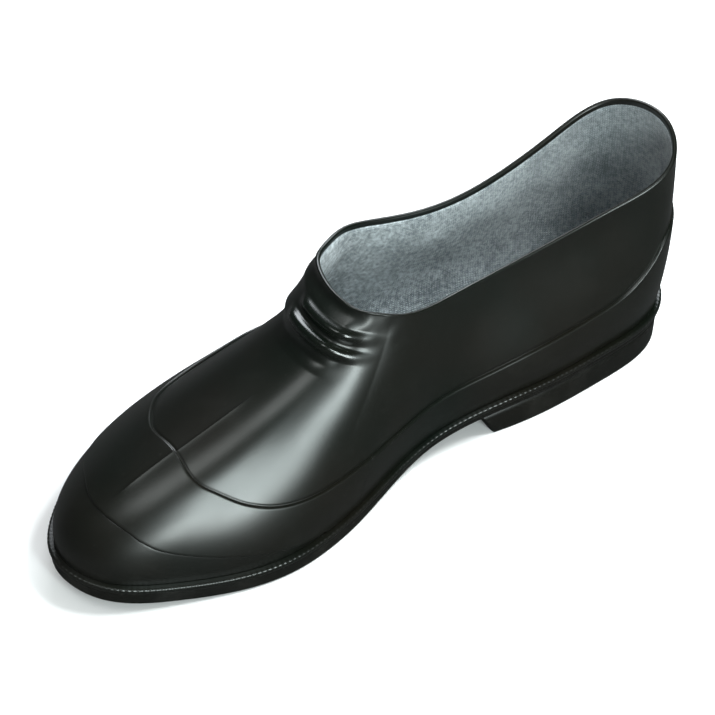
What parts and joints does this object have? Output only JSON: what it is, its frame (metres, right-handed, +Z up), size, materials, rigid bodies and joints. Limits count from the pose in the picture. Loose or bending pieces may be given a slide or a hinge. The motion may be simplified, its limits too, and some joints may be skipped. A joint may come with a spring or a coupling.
{
  "type": "rubber overshoe",
  "caption": "Low rubber overshoe for the right foot: hollow glossy upper with instep ribs, toe cap, toe foxing and heel counter, knit lining, welted sole with heel and bar tread.",
  "frame": {"origin": "middle of the bounding box, on the floor plane under the sole", "axes": "-Y points to the toe, +Y to the heel, +X to the inner (medial) side of the foot, +Z up"},
  "size_m": [0.1144, 0.309, 0.1098],
  "materials": {
    "upper_rubber": "glossy black rubber",
    "sole_rubber": "satin black rubber",
    "knit": "blue-grey jersey knit"
  },
  "bodies": {
    "root": {"upper": "upper_rubber", "toe_cap": "upper_rubber", "toe_foxing": "upper_rubber", "heel_counter": "upper_rubber", "outsole": "sole_rubber", "heel": "sole_rubber", "insole": "knit"}
  },
  "joints": []
}
